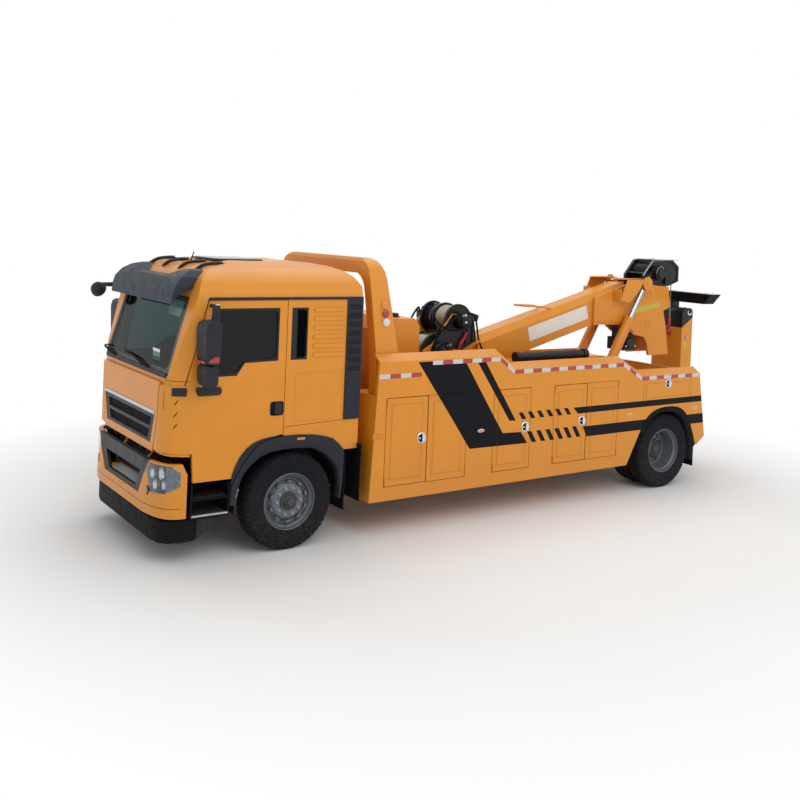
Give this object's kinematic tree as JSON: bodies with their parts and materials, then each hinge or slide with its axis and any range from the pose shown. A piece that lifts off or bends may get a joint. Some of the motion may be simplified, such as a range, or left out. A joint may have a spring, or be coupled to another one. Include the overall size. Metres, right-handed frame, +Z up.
{
  "type": "heavy tow truck",
  "caption": "Two-axle tow truck with a tilting cab, locker body, lifting boom with winches and hook, and a folding underlift with crossbar.",
  "frame": {"origin": "centre of the bounding box at ground level", "axes": "+Z up, the truck faces -Y, driver's left side is +X"},
  "size_m": [2.954, 9.14, 3.25],
  "materials": {
    "black_paint": "satin",
    "cast": "cast",
    "chrome": "polished",
    "dark_plastic": "matt",
    "frame_paint": "matt",
    "glass": "clear",
    "grille_plastic": "satin",
    "interior": "matt",
    "lamp": "clear",
    "rim": "satin",
    "seat_cloth": "woven",
    "signal": "clear",
    "steel": "brushed",
    "tyre": "matt",
    "visor_plastic": "satin",
    "yellow_paint": "gloss"
  },
  "bodies": {
    "chassis": {"chassis_frame": "frame_paint", "engine_block": "cast", "front_axle": "cast", "rear_axle": "cast", "front_bumper": "yellow_paint", "lower_grille": "grille_plastic", "headlamps": "lamp", "underrun_beam": "black_paint", "entry_steps": "dark_plastic", "mudflaps": "dark_plastic", "body_shell": "yellow_paint", "light_arch": "yellow_paint", "signal_lamps": "signal", "hydraulic_tank": "yellow_paint", "winch_stand": "yellow_paint", "winches": "black_paint"},
    "cab": {"cab_shell": "yellow_paint", "cab_glass": "glass", "sun_visor": "visor_plastic", "arch_flares": "dark_plastic", "corner_vents": "dark_plastic", "dashboard": "interior", "seats": "seat_cloth"},
    "front_flap": {"front_panel": "yellow_paint", "upper_grille": "grille_plastic"},
    "steering_wheel": {"steering_wheel": "interior"},
    "boom": {"boom": "yellow_paint", "head_winch": "black_paint", "hook": "steel"},
    "lift_barrels": {"lift_barrels": "yellow_paint"},
    "lift_rods": {"lift_rods": "chrome"},
    "underlift_sleeve": {"underlift_sleeve": "yellow_paint"},
    "underlift_extension": {"underlift_extension": "black_paint"},
    "crossbar": {"crossbar": "black_paint"},
    "knuckle_left": {"knuckle_left": "cast"},
    "front_wheel_left": {"tyre_front_left": "tyre", "rim_front_left": "rim"},
    "rear_wheels_left": {"tyre_rear_left": "tyre", "rim_rear_left": "rim"},
    "door_left": {"door_left": "yellow_paint", "door_glass_left": "glass", "mirror_left": "dark_plastic"},
    "locker_one_left": {"locker_door_one_left": "yellow_paint"},
    "locker_two_left": {"locker_door_two_left": "yellow_paint"},
    "locker_three_left": {"locker_door_three_left": "yellow_paint"},
    "locker_four_left": {"locker_door_four_left": "yellow_paint"},
    "knuckle_right": {"knuckle_right": "cast"},
    "front_wheel_right": {"tyre_front_right": "tyre", "rim_front_right": "rim"},
    "rear_wheels_right": {"tyre_rear_right": "tyre", "rim_rear_right": "rim"},
    "door_right": {"door_right": "yellow_paint", "door_glass_right": "glass", "mirror_right": "dark_plastic"},
    "locker_one_right": {"locker_door_one_right": "yellow_paint"},
    "locker_two_right": {"locker_door_two_right": "yellow_paint"},
    "locker_three_right": {"locker_door_three_right": "yellow_paint"},
    "locker_four_right": {"locker_door_four_right": "yellow_paint"}
  },
  "joints": [
    {"name": "cab_tilt", "type": "hinge", "parent": "chassis", "child": "cab", "pos_m": [0, -4.42, 0.9], "axis": [1, 0, 0], "range_deg": [0, 50]},
    {"name": "front_flap_lift", "type": "hinge", "parent": "cab", "child": "front_flap", "pos_m": [0, -4.48, 1.88], "axis": [-1, 0, 0], "range_deg": [0, 75]},
    {"name": "steering_wheel_turn", "type": "hinge", "parent": "cab", "child": "steering_wheel", "pos_m": [0.55, -3.855, 1.945], "axis": [0, 0.6691, 0.7431], "range_deg": [-430, 430]},
    {"name": "steer_left", "type": "hinge", "parent": "chassis", "child": "knuckle_left", "pos_m": [0.85, -3.083, 0.53], "axis": [0, 0, 1], "range_deg": [-35, 35]},
    {"name": "front_wheel_spin_left", "type": "hinge", "parent": "knuckle_left", "child": "front_wheel_left", "pos_m": [1.023, -3.083, 0.53], "axis": [1, 0, 0], "continuous": true},
    {"name": "rear_wheel_spin_left", "type": "hinge", "parent": "chassis", "child": "rear_wheels_left", "pos_m": [0.936, 2.917, 0.53], "axis": [1, 0, 0], "continuous": true},
    {"name": "door_swing_left", "type": "hinge", "parent": "cab", "child": "door_left", "pos_m": [1.105, -4.318, 1.5], "axis": [0, 0, -1], "range_deg": [0, 65]},
    {"name": "locker_one_left_swing", "type": "hinge", "parent": "chassis", "child": "locker_one_left", "pos_m": [1.25, -1.92, 1.085], "axis": [0, 0, -1], "range_deg": [0, 100]},
    {"name": "locker_two_left_swing", "type": "hinge", "parent": "chassis", "child": "locker_two_left", "pos_m": [1.25, -0.31, 1.085], "axis": [0, 0, -1], "range_deg": [0, 100]},
    {"name": "locker_three_left_swing", "type": "hinge", "parent": "chassis", "child": "locker_three_left", "pos_m": [1.25, 0.71, 1.085], "axis": [0, 0, -1], "range_deg": [0, 100]},
    {"name": "locker_four_left_drop", "type": "hinge", "parent": "chassis", "child": "locker_four_left", "pos_m": [1.25, 2.92, 1.27], "axis": [0, 1, 0], "range_deg": [0, 90]},
    {"name": "steer_right", "type": "hinge", "parent": "chassis", "child": "knuckle_right", "pos_m": [-0.85, -3.083, 0.53], "axis": [0, 0, 1], "range_deg": [-35, 35]},
    {"name": "front_wheel_spin_right", "type": "hinge", "parent": "knuckle_right", "child": "front_wheel_right", "pos_m": [-1.023, -3.083, 0.53], "axis": [1, 0, 0], "continuous": true},
    {"name": "rear_wheel_spin_right", "type": "hinge", "parent": "chassis", "child": "rear_wheels_right", "pos_m": [-0.936, 2.917, 0.53], "axis": [1, 0, 0], "continuous": true},
    {"name": "door_swing_right", "type": "hinge", "parent": "cab", "child": "door_right", "pos_m": [-1.105, -4.318, 1.5], "axis": [0, 0, 1], "range_deg": [0, 65]},
    {"name": "locker_one_right_swing", "type": "hinge", "parent": "chassis", "child": "locker_one_right", "pos_m": [-1.25, -1.92, 1.085], "axis": [0, 0, 1], "range_deg": [0, 100]},
    {"name": "locker_two_right_swing", "type": "hinge", "parent": "chassis", "child": "locker_two_right", "pos_m": [-1.25, -0.31, 1.085], "axis": [0, 0, 1], "range_deg": [0, 100]},
    {"name": "locker_three_right_swing", "type": "hinge", "parent": "chassis", "child": "locker_three_right", "pos_m": [-1.25, 0.71, 1.085], "axis": [0, 0, 1], "range_deg": [0, 100]},
    {"name": "locker_four_right_drop", "type": "hinge", "parent": "chassis", "child": "locker_four_right", "pos_m": [-1.25, 2.92, 1.27], "axis": [0, -1, 0], "range_deg": [0, 90]},
    {"name": "boom_lift", "type": "hinge", "parent": "chassis", "child": "boom", "pos_m": [0, 0.03, 1.84], "axis": [1, 0, 0], "range_deg": [0, 20]},
    {"name": "lift_barrel_swing", "type": "hinge", "parent": "chassis", "child": "lift_barrels", "pos_m": [0, 2.49, 1.36], "axis": [1, 0, 0], "range_deg": [0, 26]},
    {"name": "lift_rod_slide", "type": "slide", "parent": "lift_barrels", "child": "lift_rods", "axis": [0, 0.5103, 0.86], "range_m": [0, 0.9]},
    {"name": "underlift_fold", "type": "hinge", "parent": "chassis", "child": "underlift_sleeve", "pos_m": [0, 4.445, 0.7], "axis": [-1, 0, 0], "range_deg": [0, 95]},
    {"name": "underlift_slide", "type": "slide", "parent": "underlift_sleeve", "child": "underlift_extension", "axis": [0, 0, 1], "range_m": [0, 0.8]},
    {"name": "crossbar_swing", "type": "hinge", "parent": "underlift_extension", "child": "crossbar", "pos_m": [0, 4.445, 2.66], "axis": [0, 1, 0], "range_deg": [-15, 15]}
  ],
  "couplings": [
    {"joint": "steer_right", "follows": "steer_left", "ratio": 1},
    {"joint": "steering_wheel_turn", "follows": "steer_left", "ratio": 12},
    {"joint": "lift_barrel_swing", "follows": "boom_lift", "ratio": 1.21},
    {"joint": "lift_rod_slide", "follows": "boom_lift", "m_per_rad": 2.46}
  ]
}
